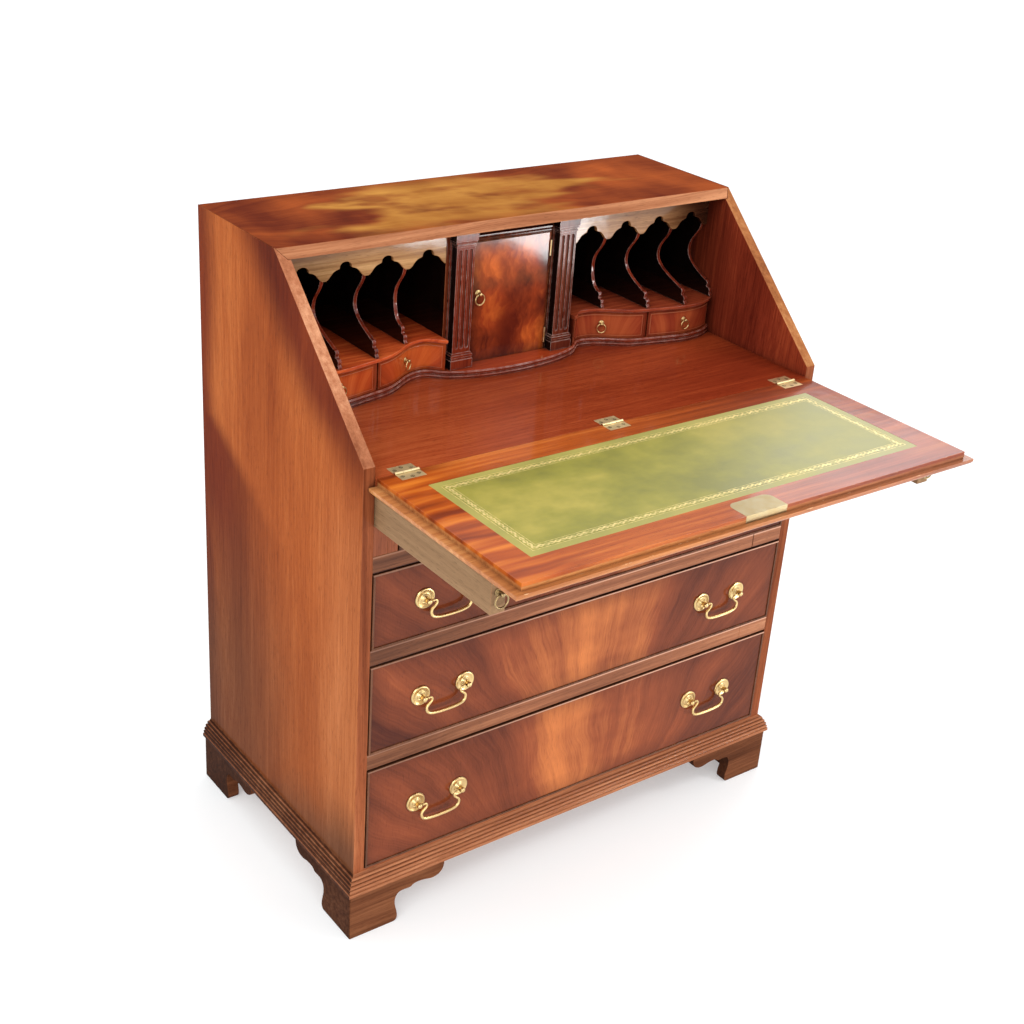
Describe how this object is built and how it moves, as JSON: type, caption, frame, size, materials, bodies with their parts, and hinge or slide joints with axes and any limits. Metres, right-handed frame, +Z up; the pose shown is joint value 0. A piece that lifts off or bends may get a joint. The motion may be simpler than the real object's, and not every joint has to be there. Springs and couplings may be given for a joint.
{
  "type": "slant-front writing desk",
  "caption": "Slant-front writing desk: a hinged fall on pull-out lopers, a serpentine gallery with small drawers and pigeonholes, over long cock-beaded drawers on bracket feet.",
  "frame": {"origin": "on the floor, at the centre of the whole desk's footprint with the fall open and the lopers out", "axes": "+Z up, +Y from the sitter towards the back of the desk, +X to the sitter's right"},
  "size_m": [0.86, 0.8, 1],
  "materials": {
    "case_mahogany": "waxed french polish, straight grain",
    "figured_mahogany": "high polish over figured veneer",
    "gallery_mahogany": "dark polish",
    "valance_mahogany": "faded polish",
    "pine": "unfinished, aged",
    "brass": "polished, lightly tarnished",
    "green_leather": "aged hide with a gilt tooled line"
  },
  "bodies": {
    "carcass": {"side_left": "case_mahogany", "side_right": "case_mahogany", "top_board": "case_mahogany", "back_boards": "pine", "bottom_board": "pine", "writing_bed": "case_mahogany", "drawer_dividers": "case_mahogany", "loper_dividers": "case_mahogany", "base_moulding": "case_mahogany", "bracket_feet": "case_mahogany", "gallery_plinth": "gallery_mahogany", "gallery_shelves": "gallery_mahogany", "gallery_partitions": "gallery_mahogany", "pigeonhole_dividers": "gallery_mahogany", "valances": "valance_mahogany", "cupboard_frame": "gallery_mahogany", "fixed_hinge_leaves": "brass"},
    "fall": {"fall_panel": "figured_mahogany", "writing_leather": "green_leather", "fall_lock": "brass", "fall_hinge_leaves": "brass"},
    "loper_left": {"loper_left": "case_mahogany", "loper_boss_left": "brass"},
    "loper_ring_left": {"loper_ring_left": "brass"},
    "loper_right": {"loper_right": "case_mahogany", "loper_boss_right": "brass"},
    "loper_ring_right": {"loper_ring_right": "brass"},
    "drawer_1": {"drawer_1": "figured_mahogany", "handle_posts_1": "brass"},
    "bail_left_1": {"bail_left_1": "brass"},
    "bail_right_1": {"bail_right_1": "brass"},
    "drawer_2": {"drawer_2": "figured_mahogany", "handle_posts_2": "brass"},
    "bail_left_2": {"bail_left_2": "brass"},
    "bail_right_2": {"bail_right_2": "brass"},
    "drawer_3": {"drawer_3": "figured_mahogany", "handle_posts_3": "brass"},
    "bail_left_3": {"bail_left_3": "brass"},
    "bail_right_3": {"bail_right_3": "brass"},
    "drawer_4": {"drawer_4": "figured_mahogany", "handle_posts_4": "brass"},
    "bail_left_4": {"bail_left_4": "brass"},
    "bail_right_4": {"bail_right_4": "brass"},
    "small_drawer_1": {"small_drawer_1": "figured_mahogany", "small_boss_1": "brass"},
    "small_ring_1": {"small_ring_1": "brass"},
    "small_drawer_2": {"small_drawer_2": "figured_mahogany", "small_boss_2": "brass"},
    "small_ring_2": {"small_ring_2": "brass"},
    "small_drawer_3": {"small_drawer_3": "figured_mahogany", "small_boss_3": "brass"},
    "small_ring_3": {"small_ring_3": "brass"},
    "small_drawer_4": {"small_drawer_4": "figured_mahogany", "small_boss_4": "brass"},
    "small_ring_4": {"small_ring_4": "brass"},
    "cupboard_door": {"cupboard_door": "figured_mahogany", "door_fittings": "brass"},
    "door_ring": {"door_ring": "brass"},
    "document_box_left": {"document_box_left": "figured_mahogany"},
    "document_box_right": {"document_box_right": "figured_mahogany"}
  },
  "joints": [
    {"name": "fall_hinge", "type": "hinge", "parent": "carcass", "child": "fall", "pos_m": [0, -0.074, 0.758], "axis": [1, 0, 0], "range_deg": [-137, 0]},
    {"name": "loper_slide_left", "type": "slide", "parent": "carcass", "child": "loper_left", "axis": [0, -1, 0], "range_m": [-0.265, 0]},
    {"name": "loper_ring_swing_left", "type": "hinge", "parent": "loper_left", "child": "loper_ring_left", "pos_m": [-0.3855, -0.3444, 0.7172], "axis": [-1, 0, 0], "range_deg": [0, 90]},
    {"name": "loper_slide_right", "type": "slide", "parent": "carcass", "child": "loper_right", "axis": [0, -1, 0], "range_m": [-0.265, 0]},
    {"name": "loper_ring_swing_right", "type": "hinge", "parent": "loper_right", "child": "loper_ring_right", "pos_m": [0.3855, -0.3444, 0.7172], "axis": [-1, 0, 0], "range_deg": [0, 90]},
    {"name": "drawer_slide_1", "type": "slide", "parent": "carcass", "child": "drawer_1", "axis": [0, -1, 0], "range_m": [0, 0.3]},
    {"name": "bail_swing_left_1", "type": "hinge", "parent": "drawer_1", "child": "bail_left_1", "pos_m": [-0.272, -0.083, 0.6895], "axis": [-1, 0, 0], "range_deg": [0, 95]},
    {"name": "bail_swing_right_1", "type": "hinge", "parent": "drawer_1", "child": "bail_right_1", "pos_m": [0.272, -0.083, 0.6895], "axis": [-1, 0, 0], "range_deg": [0, 95]},
    {"name": "drawer_slide_2", "type": "slide", "parent": "carcass", "child": "drawer_2", "axis": [0, -1, 0], "range_m": [0, 0.3]},
    {"name": "bail_swing_left_2", "type": "hinge", "parent": "drawer_2", "child": "bail_left_2", "pos_m": [-0.272, -0.083, 0.5545], "axis": [-1, 0, 0], "range_deg": [0, 95]},
    {"name": "bail_swing_right_2", "type": "hinge", "parent": "drawer_2", "child": "bail_right_2", "pos_m": [0.272, -0.083, 0.5545], "axis": [-1, 0, 0], "range_deg": [0, 95]},
    {"name": "drawer_slide_3", "type": "slide", "parent": "carcass", "child": "drawer_3", "axis": [0, -1, 0], "range_m": [0, 0.3]},
    {"name": "bail_swing_left_3", "type": "hinge", "parent": "drawer_3", "child": "bail_left_3", "pos_m": [-0.272, -0.083, 0.3935], "axis": [-1, 0, 0], "range_deg": [0, 95]},
    {"name": "bail_swing_right_3", "type": "hinge", "parent": "drawer_3", "child": "bail_right_3", "pos_m": [0.272, -0.083, 0.3935], "axis": [-1, 0, 0], "range_deg": [0, 95]},
    {"name": "drawer_slide_4", "type": "slide", "parent": "carcass", "child": "drawer_4", "axis": [0, -1, 0], "range_m": [0, 0.3]},
    {"name": "bail_swing_left_4", "type": "hinge", "parent": "drawer_4", "child": "bail_left_4", "pos_m": [-0.272, -0.083, 0.2045], "axis": [-1, 0, 0], "range_deg": [0, 95]},
    {"name": "bail_swing_right_4", "type": "hinge", "parent": "drawer_4", "child": "bail_right_4", "pos_m": [0.272, -0.083, 0.2045], "axis": [-1, 0, 0], "range_deg": [0, 95]},
    {"name": "small_drawer_slide_1", "type": "slide", "parent": "carcass", "child": "small_drawer_1", "axis": [0, -1, 0], "range_m": [0, 0.11]},
    {"name": "small_ring_swing_1", "type": "hinge", "parent": "small_drawer_1", "child": "small_ring_1", "pos_m": [-0.32424, 0.13811, 0.795], "axis": [-0.9958, -0.0911, 0], "range_deg": [0, 90]},
    {"name": "small_drawer_slide_2", "type": "slide", "parent": "carcass", "child": "small_drawer_2", "axis": [0, -1, 0], "range_m": [0, 0.11]},
    {"name": "small_ring_swing_2", "type": "hinge", "parent": "small_drawer_2", "child": "small_ring_2", "pos_m": [-0.18436, 0.18408, 0.795], "axis": [-0.8574, -0.5146, 0], "range_deg": [0, 90]},
    {"name": "small_drawer_slide_3", "type": "slide", "parent": "carcass", "child": "small_drawer_3", "axis": [0, -1, 0], "range_m": [0, 0.11]},
    {"name": "small_ring_swing_3", "type": "hinge", "parent": "small_drawer_3", "child": "small_ring_3", "pos_m": [0.18436, 0.18408, 0.795], "axis": [-0.8574, 0.5146, 0], "range_deg": [0, 90]},
    {"name": "small_drawer_slide_4", "type": "slide", "parent": "carcass", "child": "small_drawer_4", "axis": [0, -1, 0], "range_m": [0, 0.11]},
    {"name": "small_ring_swing_4", "type": "hinge", "parent": "small_drawer_4", "child": "small_ring_4", "pos_m": [0.32424, 0.13811, 0.795], "axis": [-0.9958, 0.0911, 0], "range_deg": [0, 90]},
    {"name": "cupboard_door_hinge", "type": "hinge", "parent": "carcass", "child": "cupboard_door", "pos_m": [0.0714, 0.1896, 0.864], "axis": [0, 0, 1], "range_deg": [0, 88]},
    {"name": "door_ring_swing", "type": "hinge", "parent": "cupboard_door", "child": "door_ring", "pos_m": [-0.0602, 0.18449, 0.88], "axis": [-1, 0, 0], "range_deg": [0, 90]},
    {"name": "document_box_slide_left", "type": "slide", "parent": "carcass", "child": "document_box_left", "axis": [0, -1, 0], "range_m": [0, 0.1]},
    {"name": "document_box_slide_right", "type": "slide", "parent": "carcass", "child": "document_box_right", "axis": [0, -1, 0], "range_m": [0, 0.1]}
  ]
}
